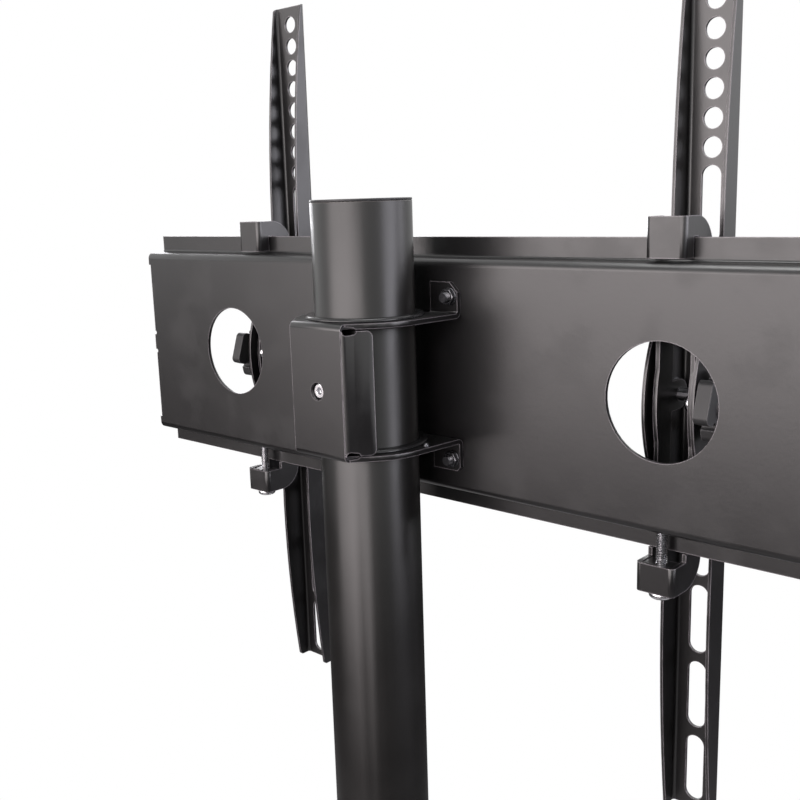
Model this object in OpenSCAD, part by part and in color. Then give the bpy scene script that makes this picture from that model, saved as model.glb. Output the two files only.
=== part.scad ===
// Television stand with a mount: a round pole on a plate foot, a folded bracket clamped round
// the pole, a wide folded rail, and two upright arms that slide along the rail and tilt.
// Millimetres. Up is +Z, the screen side is -Y, the origin is on the floor at the pole's axis.

/* [Stand] */
// Height of the pole's top above the floor
pole_top = 1300; // [900:1:1600]
// Outside diameter of the pole
pole_d = 50; // [40:0.5:60]
// Wall of the pole tube
pole_wall = 2; // [1.5:0.1:4]
// Width of the foot plate, left to right
base_w = 600; // [450:1:800]
// Depth of the foot plate, front to back
base_d = 430; // [350:1:600]
// Thickness of the foot plate
base_t = 8; // [6:0.5:12]
// Radius of the foot plate's corners
base_corner_r = 40; // [20:1:80]
// Height of the rubber pads under the foot plate
pad_h = 6; // [4:0.5:10]
// Radius of the rubber pads
pad_r = 18; // [12:0.5:25]
// Height of the socket that holds the pole
socket_h = 85; // [60:1:120]
// Wall of the socket
socket_wall = 5; // [4:0.1:8]
// Radius of the round flange under the socket
socket_flange_r = 65; // [58:0.5:75]
// Thickness of the round flange under the socket
socket_flange_t = 8; // [6:0.5:10]

/* [Bracket round the pole] */
// Height of the mount's middle below the pole's top
mount_drop = 90; // [70:1:600]
// Thickness of the bracket's sheet
collar_t = 2.5; // [2:0.1:3]
// Height of the bracket over its two flanges
collar_h = 66; // [60:0.5:80]
// Gap from the pole to the outside of the rear panel
collar_gap = 9.5; // [9:0.1:12]
// Width of the flat rear panel
collar_panel_w = 36; // [32:0.5:42]
// Angle of the side panels from straight forward
collar_flare_deg = 35; // [30:1:40]
// Length of a side panel from the corner
collar_wing = 15; // [13:0.5:17]
// Distance that the bolted tabs reach past the pole's side
collar_tab_out = 11.2; // [11:0.1:16]
// Width of one bolted tab
collar_tab_w = 17.5; // [16:0.5:19]
// Height of the two upper tabs above their flange
upper_tab_h = 15.5; // [14:0.5:17]
// Height of the two lower tabs below their flange
lower_tab_h = 14.5; // [14:0.5:17]
// Wall of the bush between the pole and the flange's hole
bush_wall = 2; // [1.5:0.1:3]
// Width of the bush's rim from the pole outward
bush_rim_w = 5; // [4:0.1:6]
// Height of the bush's rim above the flange
bush_rim_h = 1.5; // [1:0.1:2.5]

/* [Rail] */
// Width of the rail over its ears
rail_w = 462.8; // [440:0.1:600]
// Height of the rail's web
rail_h = 119; // [110:0.5:130]
// Thickness of the rail's sheet
rail_t = 2; // [1.5:0.1:3]
// Gap between the pole and the rail's rear face
rail_gap = 5.6; // [5:0.1:8]
// Depth of the rail, from the web's rear face to the lip's front face
rail_depth = 14.8; // [14:0.1:18]
// Height of a lip above the web's edge
lip_h = 10.3; // [9:0.1:13]
// Outside radius of the bends at the web's edges
rail_bend_r = 4; // [3:0.1:5]
// Radius of the two large round holes
rail_hole_r = 26.7; // [20:0.1:30]
// Distance of the large holes from the middle
rail_hole_x = 145.3; // [120:0.1:160]

/* [Arms] */
// Distance of the left arm's middle from the pole's axis
left_arm_x = 130.3; // [60:0.1:205]
// Distance of the right arm's middle from the pole's axis
right_arm_x = 143.9; // [60:0.1:205]
// Length of an arm
arm_len = 420; // [400:1:440]
// Height of the arm's top above the mount's middle
arm_rise = 205.2; // [200:0.1:215]
// Outside width of an arm
arm_w = 25; // [24:0.1:30]
// Thickness of the arm's sheet
arm_t = 1.5; // [1.2:0.1:2.5]
// Distance from the rail's front to the arm's screen face
arm_ahead = 32.2; // [32:0.1:38]
// Radius of the arm's holes, and half the width of its slots
arm_hole_r = 4.6; // [4:0.1:5]
// Distance between the arm's round holes
arm_hole_pitch = 12.5; // [12:0.1:14]
// Distance from the arm's top to its first hole
arm_hole_first = 10.2; // [9:0.1:12]
// Length of one slot
arm_slot_len = 34.5; // [30:0.1:36]
// Distance between the slots
arm_slot_pitch = 39.4; // [38:0.1:42]
// Distance from the arm's lower end to the lowest slot
arm_slot_end = 4.3; // [4:0.1:8]

/* [Hooks and tilt] */
// Thickness of the hook's sheet
hook_t = 2; // [1.5:0.1:2.5]
// Outside width of a hook
hook_w = 18.7; // [18:0.1:19.5]
// Distance from the tilt pivot to the tilt bolt
tilt_arm = 17; // [16:0.1:20]
// Tilt that the curved slot allows each way
tilt_slot_deg = 20; // [15:1:25]
// Radius over the knob's lobes
knob_r = 13.8; // [12:0.1:14.4]
// Number of lobes on the knob
knob_lobes = 3; // [3:1:4]
// Thickness of the knob's lobed part
knob_t = 6.8; // [6:0.1:9]

/* [Screws] */
// Shank radius of the bolts that hold the bracket to the rail
rail_bolt_r = 2.5; // [2:0.1:3]
// Shank radius of the pivot pins and the knob bolts
bolt_r = 3; // [2.5:0.1:3.5]
// Radius of the lock screw
lock_r = 4; // [3:0.1:5]
// Shank radius of the safety screw
safety_r = 2.5; // [2:0.1:3]
// Radius of the safety screw's head
safety_head_r = 5.3; // [4.5:0.1:6]

/* [Clearances] */
// Radial clearance of a shaft that turns or slides in its hole
run_gap = 0.05; // [0.02:0.01:0.1]
// Gap between faces that slide past each other
slide_gap = 0.35; // [0.3:0.05:0.6]
// Gap between pieces that stay put but are not pressed together
rest_gap = 0.1; // [0.05:0.05:0.2]

/* [Hidden] */
$fn = 96;

// How far a cut runs past the faces it opens
over = 1;
// A full turn, in degrees
turn = 360;
// Flats in a small round corner that carries nothing
arc_steps = 8;

// Stand
pole_r = pole_d / 2;
plate_top = pad_h + base_t;
pad_edge = 5;
pad_inset = base_corner_r + pad_edge;
pad_foot_share = 0.92;
foot_bolt_r = 4;
foot_bolt_circle_r = 50;
foot_bolt_head_af = 13;
foot_bolt_head_h = 5.3;
foot_bolt_count = 4;
foot_screw_r = 3;
foot_screw_share = 0.72;
foot_screw_z = socket_h * foot_screw_share;
foot_screw_proud = 1;
foot_screw_len = socket_wall + foot_screw_proud;
gusset_share = 0.45;
gusset_h = socket_h * gusset_share;
gusset_t = 5;
cap_t = 1.2;
cap_plug_h = 14;
cap_plug_wall = 2;

// Mount: heights below are measured from the mount's middle
mount_z = pole_top - mount_drop;
rail_back = -(pole_r + rail_gap);
rail_front = rail_back - rail_depth;
rail_top = rail_h / 2;
lip_top = rail_top + lip_h;
lip_back = rail_front + rail_t;
lip_bend_in = 1.5;
arm_face = arm_ahead - rail_front;

// Bracket
collar_reach = pole_r + collar_gap;
collar_tab_half = pole_r + collar_tab_out;
bush_hole_r = pole_r + bush_wall;
bush_rim_r = pole_r + bush_rim_w;
flange_top = collar_h / 2;
flange_low = flange_top - collar_t;
collar_inner = collar_reach - collar_t;
wing_gap = 0.7;
wing_corner_r = 3;
bend_r = 4;
bend_in = bend_r - collar_t;
bend_run = bend_r * tan((90 - collar_flare_deg) / 2);
bend_x = collar_panel_w / 2 - bend_run;
bend_y = collar_reach - bend_r;
wing_flat = collar_wing - bend_run;
wing_top = collar_h / 2 - collar_t - wing_gap;
fold_r = 3;
tab_bend_in = 1;
tab_front = rail_back;
upper_tab_chamfer = 5;
lower_tab_chamfer = 2;
bolt_edge = 4.7;
bolt_x = collar_tab_half - bolt_edge;
bolt_rise = 8.3;
bolt_z = flange_top + bolt_rise;
bolt_proud = 2.6;
relief_r = 2;
relief_run = 3.6;
relief_in = 0.4;
relief_share = 0.8;
side_shares = [0.995, 0.1];
lock_nut_af = 13;
lock_nut_t = 5.5;
lock_cone_out = 0.5;
lock_cone_r = lock_r + lock_cone_out;
lock_cone_h = 0.5;
lock_in = 1.4;
lock_chamfer = 0.6;
lock_socket_af = 3;
lock_socket_h = 2;
bush_proud = 1.5;
rivet_head_r = 1.7;
rivet_head_h = 1.6;
rivet_shank_r = 1;
rivet_out = 2.3;
rivet_reach = bush_rim_r + rivet_out;
rivet_top_share = 0.6;
rivet_deg = 194;

// Rail
ear_step = 1.7;
ear_h = 8;
tongue_h = 10;
tongue_step = 0.8;
nick_r = 1.2;
washer_r = 4.3;
washer_t = 0.8;
rail_nut_af = 7.4;
rail_nut_t = 2.2;
bolt_head_r = 4.75;
bolt_head_h = 2.8;
bolt_socket_af = 3;
bolt_socket_h = 1.6;

// Hooks
hook_back_in = 4.2;
hook_back = rail_back - hook_back_in;
hook_rise = 9;
hook_top = lip_top + hook_rise;
hook_leg_clear = 0.8;
hook_leg_front = lip_back + hook_leg_clear;
hook_floor_clear = 1.6;
hook_leg_low = rail_top + hook_floor_clear;
hook_round_r = 14.6;
hook_front = rail_front - hook_round_r;
block_back_in = 0.4;
block_back = rail_back - block_back_in;
block_drop = 4.1;
block_top = -(lip_top + block_drop);
block_h = 13.4;
block_low = block_top - block_h;
block_ahead = 11.6;
block_front = rail_front - block_ahead;
block_step_clear = 0.6;
block_step_back = lip_back + block_step_clear;
block_round_r = block_step_back - block_front;
block_step_top = -lip_top - slide_gap;
belly_trim = 1.5;
lip_clear = 0.9;
hook_bend_r = 2.5;
lobe_r = 7;
belly_r = 70;
belly_mid = -4.9;
belly_clear = 11.7;
hook_belly = rail_back - rail_t - belly_clear;
tilt_z = -2.6;
tilt_bolt_ahead = 3.6;
tilt_bolt_y = rail_front - tilt_bolt_ahead;
pivot_y = tilt_bolt_y - tilt_arm;
thread_tab_len = 10.6;
thread_tab_drop = 0.4;
safety_in = 7.6;
safety_y = rail_front + safety_in;
safety_tip_gap = 0.4;
safety_tip = -(rail_top + safety_tip_gap);
safety_head_gap = 0.6;
safety_head_top = block_low - safety_head_gap;
safety_head_h = 3;
safety_slot_w = 1.2;
safety_slot_h = 1.3;

// Arms
arm_inner = arm_w / 2 - arm_t;
arm_back = -(arm_face - arm_t);
arm_top = arm_rise;
arm_low = arm_rise - arm_len;
arm_bend_r = 3;
arm_belly_out = 4.5;
arm_belly = hook_belly + arm_belly_out;
arm_neck_top_d = 14;
arm_neck_low_d = 16.2;
arm_neck_top = arm_neck_top_d - arm_face;
arm_neck_low = arm_neck_low_d - arm_face;
arm_neck_top_z = 68;
arm_neck_low_z = -105;
arm_end_top_r = 900;
arm_end_low_r = 850;
arm_corner_r = 3;
arm_corner_out = 0.1;
arm_end_top = arm_neck_top - arm_end_top_r
    + sqrt(pow(arm_end_top_r, 2) - pow(arm_top - arm_corner_r - arm_neck_top_z, 2));
arm_end_low = arm_neck_low - arm_end_low_r
    + sqrt(pow(arm_end_low_r, 2) - pow(arm_low + arm_corner_r - arm_neck_low_z, 2));
arm_holes = 8;
arm_web = 2.5;
arm_slot_room = arm_len - arm_hole_first - (arm_holes - 1) * arm_hole_pitch - arm_hole_r - arm_web
    - arm_slot_end - arm_slot_len;
arm_slots = floor(arm_slot_room / arm_slot_pitch) + 1;

// Tilt parts
hook_outer = hook_w / 2;
hook_inner = hook_outer - hook_t;
pivot_head_r = 5.5;
pivot_head_t = 1.5;
side_play = 0.1;
pivot_washer_r = 7.5;
pivot_washer_t = arm_inner - hook_outer - side_play;
tilt_head_r = 4.4;
tilt_head_h = 3;
tilt_slot_clear = 0.2;
tilt_slot_r = bolt_r + tilt_slot_clear;
tilt_head_share = 0.55;
knob_washer_r = 6.5;
knob_washer_t = 1;
knob_start = arm_w / 2 + knob_washer_t + side_play;
knob_hub_r = 7;
knob_hub_h = 1.4;
knob_lobe_half = 9.6;
knob_corner_r = 3;
knob_notch_r = 1.8;
knob_cap_h = 1;
knob_bore_h = 6;
knob_turn_deg = 18;

// Points on an arc round [x, y], from angle a0 to a1
function arc_points(x, y, r, a0, a1) =
    [for (i = [0 : arc_steps]) let (a = a0 + (a1 - a0) * i / arc_steps) [x + r * cos(a), y + r * sin(a)]];

// A hexagonal prism along +Z, made from three slabs
module hex_prism(across, h) {
    intersection_for(a = [0, 60, 120]) {
        rotate([0, 0, a])
            translate([-across, -across / 2, 0])
                cube([2 * across, across, h]);
    }
}

// A slab with four round corners, centred on the Z axis
module round_slab(w, d, h, r) {
    union() {
        translate([-w / 2 + r, -d / 2, 0]) cube([w - 2 * r, d, h]);
        translate([-w / 2, -d / 2 + r, 0]) cube([w, d - 2 * r, h]);
        for (sx = [-1, 1], sy = [-1, 1]) {
            translate([sx * (w / 2 - r), sy * (d / 2 - r), 0]) cylinder(r = r, h = h);
        }
    }
}

// Extrudes a drawing of Y across and Z up along X, from x0 to x1
module along_x(x0, x1) {
    translate([x0, 0, 0])
        rotate([90, 0, 90])
            linear_extrude(height = x1 - x0)
                children();
}

// A quarter of a ring in the drawing plane, opening toward sx, sy
module quarter_ring(r_out, r_in, sx, sy) {
    intersection() {
        difference() {
            circle(r = r_out);
            circle(r = r_in);
        }
        translate([sx > 0 ? 0 : -r_out, sy > 0 ? 0 : -r_out]) square([r_out, r_out]);
    }
}

// A cylinder along X, from x0 to x1
module rod_x(r, x0, x1) {
    translate([x0, 0, 0]) rotate([0, 90, 0]) cylinder(r = r, h = x1 - x0);
}

// A cylinder along Y, from y0 up to y1
module rod_y(r, y0, y1) {
    translate([0, y1, 0]) rotate([90, 0, 0]) cylinder(r = r, h = y1 - y0);
}

// Stand pieces

module base_plate() {
    color([0.06, 0.06, 0.065])
        difference() {
            translate([0, 0, pad_h]) round_slab(base_w, base_d, base_t, base_corner_r);
            for (a = [1 : foot_bolt_count]) {
                rotate([0, 0, a * turn / foot_bolt_count + turn / foot_bolt_count / 2])
                    translate([foot_bolt_circle_r, 0, pad_h - over])
                        cylinder(r = foot_bolt_r, h = base_t + 2 * over);
            }
        }
}

module base_pads() {
    color([0.04, 0.04, 0.04])
        for (sx = [-1, 1], sy = [-1, 1]) {
            translate([sx * (base_w / 2 - pad_inset), sy * (base_d / 2 - pad_inset), 0])
                cylinder(r1 = pad_r * pad_foot_share, r2 = pad_r, h = pad_h);
        }
}

module pole_foot() {
    color([0.06, 0.06, 0.065])
        difference() {
            translate([0, 0, plate_top])
                union() {
                    cylinder(r = socket_flange_r, h = socket_flange_t);
                    cylinder(r = pole_r + socket_wall, h = socket_h);
                    for (a = [0 : 3]) {
                        rotate([0, 0, a * turn / 4])
                            rotate([90, 0, 0])
                                translate([0, 0, -gusset_t / 2])
                                    linear_extrude(height = gusset_t)
                                        polygon([[pole_r + over, 0],
                                            [socket_flange_r - over, 0],
                                            [socket_flange_r - over, socket_flange_t],
                                            [pole_r + socket_wall, gusset_h],
                                            [pole_r + over, gusset_h]]);
                    }
                }
            translate([0, 0, plate_top - over])
                cylinder(r = pole_r + rest_gap, h = socket_h + 2 * over);
            for (a = [1 : foot_bolt_count]) {
                rotate([0, 0, a * turn / foot_bolt_count + turn / foot_bolt_count / 2])
                    translate([foot_bolt_circle_r, 0, plate_top - over])
                        cylinder(r = foot_bolt_r + rest_gap, h = socket_flange_t + 2 * over);
            }
            for (s = [-1, 1]) {
                translate([0, 0, plate_top + foot_screw_z])
                    rod_y(foot_screw_r + run_gap,
                        s > 0 ? 0 : -(pole_r + socket_wall + over),
                        s > 0 ? pole_r + socket_wall + over : 0);
            }
        }
}

module foot_bolts() {
    color([0.55, 0.56, 0.58])
        for (a = [1 : foot_bolt_count]) {
            rotate([0, 0, a * turn / foot_bolt_count + turn / foot_bolt_count / 2])
                translate([foot_bolt_circle_r, 0, pad_h])
                    union() {
                        cylinder(r = foot_bolt_r, h = base_t + socket_flange_t + over);
                        translate([0, 0, base_t + socket_flange_t])
                            hex_prism(foot_bolt_head_af, foot_bolt_head_h);
                    }
        }
}

module foot_screws() {
    color([0.55, 0.56, 0.58])
        for (s = [-1, 1]) {
            translate([0, 0, plate_top + foot_screw_z])
                rotate([0, 0, s > 0 ? 0 : turn / 2])
                    difference() {
                        rod_y(foot_screw_r, pole_r, pole_r + foot_screw_len);
                        translate([0, pole_r + foot_screw_len + over, 0])
                            rotate([90, 0, 0])
                                hex_prism(foot_screw_r, foot_screw_r + over);
                    }
        }
}

module pole() {
    color([0.10, 0.10, 0.105])
        difference() {
            translate([0, 0, plate_top])
                cylinder(r = pole_r, h = pole_top - cap_t - plate_top);
            translate([0, 0, plate_top - over])
                cylinder(r = pole_r - pole_wall, h = pole_top - plate_top + 2 * over);
        }
}

module pole_cap() {
    color([0.05, 0.05, 0.05])
        difference() {
            union() {
                translate([0, 0, pole_top - cap_t]) cylinder(r = pole_r, h = cap_t);
                translate([0, 0, pole_top - cap_t - cap_plug_h])
                    cylinder(r = pole_r - pole_wall - rest_gap, h = cap_plug_h + cap_t / 2);
            }
            translate([0, 0, pole_top - cap_t - cap_plug_h - over])
                cylinder(r = pole_r - pole_wall - cap_plug_wall, h = cap_plug_h + over);
        }
}

// A bush ring: a sleeve through the flange with a rim on top of it
module bush(flange_z) {
    color([0.05, 0.05, 0.052])
        translate([0, 0, mount_z + flange_z])
            difference() {
                union() {
                    translate([0, 0, -collar_t - bush_proud])
                        cylinder(r = bush_hole_r - run_gap,
                            h = collar_t + bush_proud + bush_rim_h / 2);
                    translate([0, 0, side_play])
                        cylinder(r1 = bush_rim_r, r2 = bush_rim_r - bush_rim_h / 2,
                            h = bush_rim_h);
                }
                translate([0, 0, -collar_t - bush_proud - over])
                    cylinder(r = pole_r + run_gap, h = collar_t + bush_proud + bush_rim_h + 3 * over);
            }
}

module upper_bush() {
    bush(flange_top);
}

module lower_bush() {
    bush(-flange_low);
}

// Bracket round the pole

// Outline of one flange, seen from above
module flange_outline() {
    front = tab_front + tab_bend_in + collar_t;
    union() {
        polygon([[-collar_panel_w / 2, collar_reach - fold_r],
            [collar_panel_w / 2, collar_reach - fold_r],
            [collar_reach * cos(collar_flare_deg), collar_reach * sin(collar_flare_deg)],
            [collar_reach * side_shares[0], collar_reach * side_shares[1]],
            [collar_tab_half, front + over], [collar_tab_half, front],
            [-collar_tab_half, front], [-collar_tab_half, front + over],
            [-collar_reach * side_shares[0], collar_reach * side_shares[1]],
            [-collar_reach * cos(collar_flare_deg), collar_reach * sin(collar_flare_deg)]]);
        intersection() {
            circle(r = collar_reach);
            translate([-collar_reach, 0]) square([2 * collar_reach, collar_reach - fold_r]);
        }
    }
}

// Cross-section of the rear panel and its two side panels, seen from above
module wrap_section() {
    flare = collar_flare_deg;
    tip = [bend_x + wing_flat * sin(flare), bend_y - wing_flat * cos(flare)];
    outer = concat([tip + bend_r * [cos(flare), sin(flare)]],
        arc_points(bend_x, bend_y, bend_r, flare, 90));
    inner = concat([tip + bend_in * [cos(flare), sin(flare)]],
        arc_points(bend_x, bend_y, bend_in, flare, 90));
    n = len(outer) - 1;
    polygon(concat(outer, [for (i = [n : -1 : 0]) [-outer[i][0], outer[i][1]]],
        [for (i = [0 : n]) [-inner[i][0], inner[i][1]]], [for (i = [n : -1 : 0]) inner[i]]));
}

// Fold that joins the rear panel to a flange, drawn as Y across and Z up
module back_fold() {
    union() {
        translate([collar_reach - fold_r, flange_top - fold_r])
            quarter_ring(fold_r, fold_r - collar_t, 1, 1);
        translate([collar_inner, 0]) square([collar_t, flange_top - fold_r]);
    }
}

// One tab that stands up from the top flange, on the +X side, with its outer corner cut off
module tab(tab_h, chamfer) {
    fold_y = tab_front + collar_t + tab_bend_in;
    fold_z = flange_top + tab_bend_in;
    inner = collar_tab_half - collar_tab_w;
    top = flange_top + tab_h;
    intersection() {
        along_x(inner, collar_tab_half + over)
            union() {
                translate([fold_y, fold_z])
                    quarter_ring(tab_bend_in + collar_t, tab_bend_in, -1, -1);
                translate([tab_front, fold_z]) square([collar_t, tab_h]);
                translate([fold_y - over / 2, flange_low]) square([over, collar_t]);
            }
        translate([0, fold_y + over, 0])
            rotate([90, 0, 0])
                linear_extrude(height = fold_y - tab_front + 2 * over)
                    polygon([[inner - over, 0], [collar_tab_half, 0],
                        [collar_tab_half, top - chamfer], [collar_tab_half - chamfer, top],
                        [inner - over, top]]);
    }
}

// Cuts a drawing (minus the distance from the bend, height) through the +X side panel
module through_wing() {
    translate([bend_x, bend_y, 0])
        rotate([0, 0, collar_flare_deg])
            rotate([90, 0, 90])
                linear_extrude(height = 3 * bend_r)
                    children();
}

// Upper half of the bracket, heights from the mount's middle
module collar_half(tab_h, chamfer) {
    difference() {
        union() {
            translate([0, 0, flange_low]) linear_extrude(height = collar_t) flange_outline();
            along_x(-(collar_panel_w / 2 - over / 2), collar_panel_w / 2 - over / 2) back_fold();
            linear_extrude(height = wing_top) wrap_section();
            tab(tab_h, chamfer);
            mirror([1, 0, 0]) tab(tab_h, chamfer);
        }
        translate([0, 0, flange_low - over]) cylinder(r = bush_hole_r, h = collar_t + 2 * over);
        for (s = [-1, 1]) {
            translate([s * bolt_x, 0, bolt_z])
                rod_y(rail_bolt_r + rest_gap, tab_front - over, tab_front + collar_t + over);
            mirror([s > 0 ? 0 : 1, 0, 0]) {
                // Far corner of the side panel
                through_wing()
                    polygon(concat(
                        arc_points(-(wing_flat - wing_corner_r), wing_top - wing_corner_r,
                            wing_corner_r, 90, turn / 2),
                        [[-wing_flat - over, wing_top - wing_corner_r],
                            [-wing_flat - over, wing_top + over / 2],
                            [-(wing_flat - wing_corner_r), wing_top + over / 2]]));
                // Relief where the rear panel, the side panel and the flange meet
                through_wing()
                    polygon(concat(
                        arc_points(-relief_in, wing_top, relief_r, -90, 90),
                        arc_points(-relief_run, wing_top, relief_r * relief_share, 90, turn * 3 / 4)));
            }
        }
        rod_y(lock_r + run_gap, 0, collar_reach + over);
        translate([0, collar_reach - lock_cone_h, 0])
            rotate([-90, 0, 0])
                cylinder(r1 = lock_r + run_gap, r2 = lock_cone_r, h = lock_cone_h + rest_gap);
    }
}

module collar_bracket() {
    color([0.10, 0.10, 0.105])
        difference() {
            translate([0, 0, mount_z])
                union() {
                    collar_half(upper_tab_h, upper_tab_chamfer);
                    mirror([0, 0, 1]) collar_half(lower_tab_h, lower_tab_chamfer);
                }
            at_rivet() translate([0, 0, -2 * collar_t])
                cylinder(r = rivet_shank_r + rest_gap, h = 3 * collar_t);
        }
}

module lock_nut() {
    color([0.30, 0.30, 0.31])
        translate([0, collar_inner, mount_z])
            rotate([90, 0, 0])
                difference() {
                    hex_prism(lock_nut_af, lock_nut_t);
                    translate([0, 0, -over])
                        cylinder(r = lock_r + run_gap, h = lock_nut_t + 2 * over);
                }
}

module lock_screw() {
    lock_end = collar_reach - lock_in;
    color([0.62, 0.63, 0.65])
        translate([0, 0, mount_z])
            difference() {
                union() {
                    rod_y(lock_r, pole_r + rest_gap, lock_end - lock_chamfer);
                    translate([0, lock_end - lock_chamfer, 0])
                        rotate([-90, 0, 0])
                            cylinder(r1 = lock_r, r2 = lock_r - lock_chamfer, h = lock_chamfer);
                }
                translate([0, lock_end + over, 0])
                    rotate([90, 0, 0])
                        hex_prism(lock_socket_af, lock_socket_h + over);
            }
}

// Puts a piece on the lower flange at the rivet's place
module at_rivet() {
    translate([rivet_reach * cos(rivet_deg), rivet_reach * sin(rivet_deg), mount_z - flange_low])
        children();
}

module flange_rivet() {
    color([0.62, 0.63, 0.65])
        at_rivet()
            union() {
                cylinder(r1 = rivet_head_r, r2 = rivet_head_r * rivet_top_share, h = rivet_head_h);
                translate([0, 0, -collar_t])
                    cylinder(r = rivet_shank_r, h = collar_t + rivet_head_h / 2);
            }
}

// Rail

// Cross-section of the rail's upper half, Y across and Z up
module rail_half_section() {
    inside_r = rail_bend_r - rail_t;
    union() {
        translate([rail_back - rail_t, 0]) square([rail_t, rail_top - rail_bend_r]);
        translate([rail_back - rail_bend_r, rail_top - rail_bend_r])
            quarter_ring(rail_bend_r, inside_r, 1, 1);
        translate([rail_front + rail_t + lip_bend_in, rail_top - rail_t])
            square([rail_depth - rail_bend_r - rail_t - lip_bend_in, rail_t]);
        translate([rail_front + rail_t + lip_bend_in, rail_top + lip_bend_in])
            quarter_ring(rail_t + lip_bend_in, lip_bend_in, -1, -1);
        translate([rail_front, rail_top + lip_bend_in]) square([rail_t, lip_h - lip_bend_in]);
    }
}

module rail() {
    edge = rail_w / 2 - ear_step;
    color([0.085, 0.085, 0.09])
        translate([0, 0, mount_z])
            difference() {
                union() {
                    along_x(-rail_w / 2, rail_w / 2) rail_half_section();
                    mirror([0, 0, 1]) along_x(-rail_w / 2, rail_w / 2) rail_half_section();
                }
                for (s = [-1, 1]) {
                    mirror([s > 0 ? 0 : 1, 0, 0]) {
                        translate([edge, rail_back - rail_t - over, tongue_h / 2])
                            cube([ear_step + over, rail_t + 2 * over, rail_top - ear_h - tongue_h / 2]);
                        translate([edge, rail_back - rail_t - over, -(rail_top - ear_h)])
                            cube([ear_step + over, rail_t + 2 * over, rail_top - ear_h - tongue_h / 2]);
                        translate([edge + tongue_step, rail_back - rail_t - over, -tongue_h / 2 - over])
                            cube([ear_step, rail_t + 2 * over, tongue_h + 2 * over]);
                        for (sz = [-1, 1]) {
                            translate([edge, 0, sz * (tongue_h / 2 + nick_r)])
                                rod_y(nick_r, rail_back - rail_t - over, rail_back + over);
                        }
                        translate([rail_hole_x, 0, 0])
                            rod_y(rail_hole_r, rail_back - rail_t - over, rail_back + over);
                        for (sz = [-1, 1]) {
                            translate([bolt_x, 0, sz * bolt_z])
                                rod_y(rail_bolt_r + rest_gap, rail_back - rail_t - over,
                                    rail_back + over);
                        }
                    }
                }
            }
}

module rail_bolts() {
    head_back = rail_back - rail_t;
    color([0.45, 0.46, 0.48])
        for (sx = [-1, 1], sz = [-1, 1]) {
            translate([sx * bolt_x, 0, mount_z + sz * bolt_z])
                difference() {
                    union() {
                        rod_y(rail_bolt_r, head_back - over,
                            tab_front + collar_t + washer_t + rail_nut_t + bolt_proud);
                        rod_y(bolt_head_r, head_back - bolt_head_h, head_back);
                    }
                    translate([0, head_back - bolt_head_h + bolt_socket_h, 0])
                        rotate([90, 0, 0])
                            hex_prism(bolt_socket_af, bolt_socket_h + over);
                }
        }
}

module rail_washers() {
    color([0.50, 0.51, 0.53])
        for (sx = [-1, 1], sz = [-1, 1]) {
            translate([sx * bolt_x, 0, mount_z + sz * bolt_z])
                difference() {
                    rod_y(washer_r, tab_front + collar_t, tab_front + collar_t + washer_t);
                    rod_y(rail_bolt_r + rest_gap, tab_front, 0);
                }
        }
}

module rail_nuts() {
    color([0.45, 0.46, 0.48])
        for (sx = [-1, 1], sz = [-1, 1]) {
            translate([sx * bolt_x, tab_front + collar_t + washer_t + rail_nut_t,
                mount_z + sz * bolt_z])
                rotate([90, 0, 0])
                    difference() {
                        hex_prism(rail_nut_af, rail_nut_t);
                        translate([0, 0, -over])
                            cylinder(r = rail_bolt_r + run_gap, h = rail_nut_t + 2 * over);
                    }
        }
}

// Hooks, arms and their screws. Each is drawn at X = 0 with its knob side toward +X.

// Puts a piece in its place on the left side, +X
module on_left() {
    translate([left_arm_x, 0, mount_z]) children();
}

// Puts a piece in its place on the right side, -X, mirrored
module on_right() {
    translate([-right_arm_x, 0, mount_z]) mirror([1, 0, 0]) children();
}

// Outline of a hook seen from its side, Y across and Z up
module hook_side() {
    front_low = rail_front - lip_clear;
    round_y = hook_front + hook_round_r;
    block_round_z = block_low + block_round_r;
    difference() {
        union() {
            // Top hook: square at the rear, round at the front
            intersection() {
                translate([round_y, hook_top - hook_round_r]) circle(r = hook_round_r);
                translate([hook_front, hook_top - hook_round_r]) square([hook_round_r, hook_round_r]);
            }
            translate([round_y, hook_leg_low])
                square([hook_back - round_y, hook_top - hook_leg_low]);
            // Long side plate in front of the rail, with the top and bottom necks
            polygon([[hook_front, hook_top - hook_round_r], [round_y, hook_top - hook_round_r],
                [round_y, rail_top], [front_low, rail_top], [front_low, block_round_z],
                [block_front, block_round_z]]);
            // Belly between the rail's flanges
            intersection() {
                translate([hook_belly - belly_r, belly_mid]) circle(r = belly_r);
                translate([front_low - over, -rail_top]) square([2 * rail_depth, 2 * rail_top]);
            }
            // Lower block, round at the front and square at the rear
            intersection() {
                translate([block_step_back, block_round_z]) circle(r = block_round_r);
                translate([block_front, block_low]) square([block_round_r, block_round_r]);
            }
            translate([block_step_back - over, block_low])
                square([block_back - block_step_back + over, block_top - block_low]);
            // Step of the block that reaches up to the lip
            translate([front_low - over, block_round_z - over])
                square([block_step_back - front_low + over, block_step_top - block_round_z + over]);
            // Ear round the pivot
            translate([pivot_y, tilt_z]) circle(r = lobe_r);
            translate([pivot_y, tilt_z - lobe_r]) square([front_low - pivot_y, 2 * lobe_r]);
        }
        // Room for the rail's two lips
        translate([front_low, rail_top - belly_trim])
            square([hook_leg_front - front_low, lip_top + slide_gap - rail_top + belly_trim]);
        translate([front_low, -lip_top - slide_gap])
            square([hook_leg_front - front_low, lip_top + slide_gap - rail_top + belly_trim]);
        translate([hook_leg_front - over, rail_top - belly_trim])
            square([2 * rail_depth, hook_leg_low - rail_top + belly_trim]);
    }
}

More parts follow.
